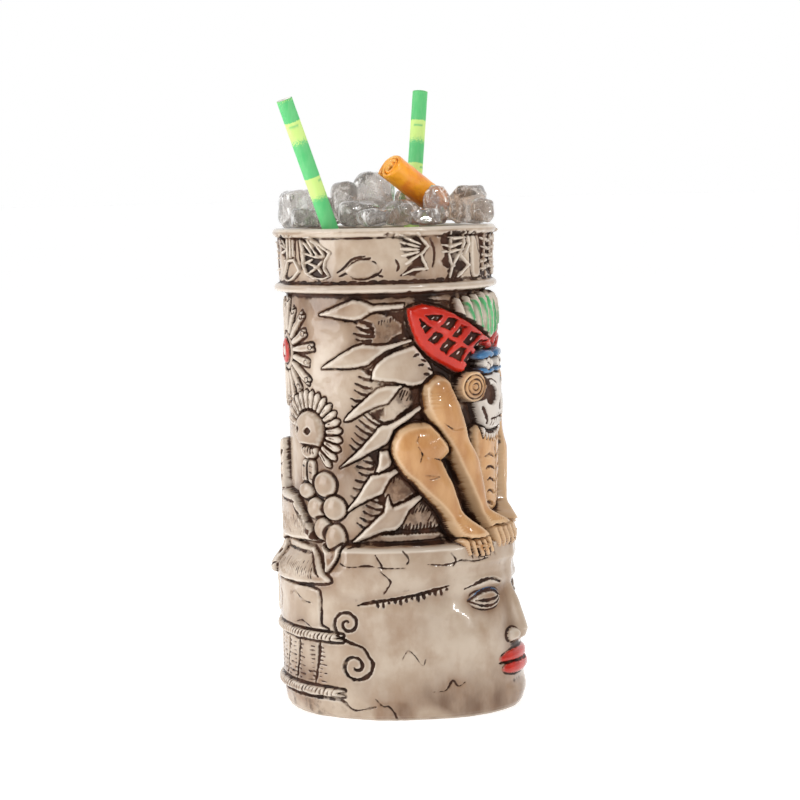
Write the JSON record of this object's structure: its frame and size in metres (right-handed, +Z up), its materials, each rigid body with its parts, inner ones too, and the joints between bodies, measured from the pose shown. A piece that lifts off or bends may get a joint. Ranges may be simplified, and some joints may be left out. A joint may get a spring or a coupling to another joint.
{
  "type": "tiki mug",
  "caption": "Tall glazed stoneware tiki mug carved all round with masks, leaves and a squatting figure, served with ice, paper straws and a roll of orange peel.",
  "frame": {"origin": "on the vessel's axis, at the flat base", "axes": "+Z up out of the mouth; the big carved face looks along -Y; +X is to the right of someone who faces it"},
  "size_m": [0.0856, 0.092, 0.2216],
  "materials": {
    "glazed_stoneware": "cream and tan glaze with a dark brown wash in the hollows",
    "printed_paper": "wound paper printed with a two-green bamboo pattern",
    "orange_peel": "waxy peel with fine pores",
    "clear_ice": "wet, partly melted, with cloudy cores"
  },
  "bodies": {
    "mug": {"mug_body": "glazed_stoneware"},
    "ice": {"ice_layer_1": "clear_ice", "ice_layer_2": "clear_ice", "ice_layer_3": "clear_ice", "ice_layer_4": "clear_ice", "ice_lump_02": "clear_ice", "ice_lump_03": "clear_ice", "ice_lump_05": "clear_ice", "ice_lump_06": "clear_ice", "ice_lump_07": "clear_ice", "ice_lump_08": "clear_ice", "ice_lump_10": "clear_ice", "ice_lump_11": "clear_ice", "ice_lump_12": "clear_ice", "ice_lump_13": "clear_ice", "ice_lump_14": "clear_ice", "ice_lump_15": "clear_ice", "ice_lump_16": "clear_ice", "ice_lump_17": "clear_ice"},
    "straw_left": {"straw_left": "printed_paper"},
    "straw_right": {"straw_right": "printed_paper"},
    "orange_peel": {"orange_peel": "orange_peel"},
    "ice_lump_01": {"ice_lump_01": "clear_ice"},
    "ice_lump_04": {"ice_lump_04": "clear_ice"},
    "ice_lump_09": {"ice_lump_09": "clear_ice"}
  },
  "joints": [
    {"name": "ice_lift", "type": "slide", "parent": "mug", "child": "ice", "axis": [0, 0, 1], "range_m": [0, 0.15]},
    {"name": "straw_left_pull", "type": "slide", "parent": "ice", "child": "straw_left", "axis": [-0.2541, 0.2313, 0.9391], "range_m": [0, 0.19]},
    {"name": "straw_right_pull", "type": "slide", "parent": "ice", "child": "straw_right", "axis": [0.2052, -0.0201, 0.9785], "range_m": [0, 0.19]},
    {"name": "orange_peel_pull", "type": "slide", "parent": "ice", "child": "orange_peel", "axis": [-0.7053, 0.4518, 0.5463], "range_m": [0, 0.035]},
    {"name": "ice_lump_01_lift", "type": "slide", "parent": "ice", "child": "ice_lump_01", "axis": [0, 0, 1], "range_m": [0, 0.04]},
    {"name": "ice_lump_04_lift", "type": "slide", "parent": "ice", "child": "ice_lump_04", "axis": [0, 0, 1], "range_m": [0, 0.04]},
    {"name": "ice_lump_09_lift", "type": "slide", "parent": "ice", "child": "ice_lump_09", "axis": [0, 0, 1], "range_m": [0, 0.04]}
  ]
}
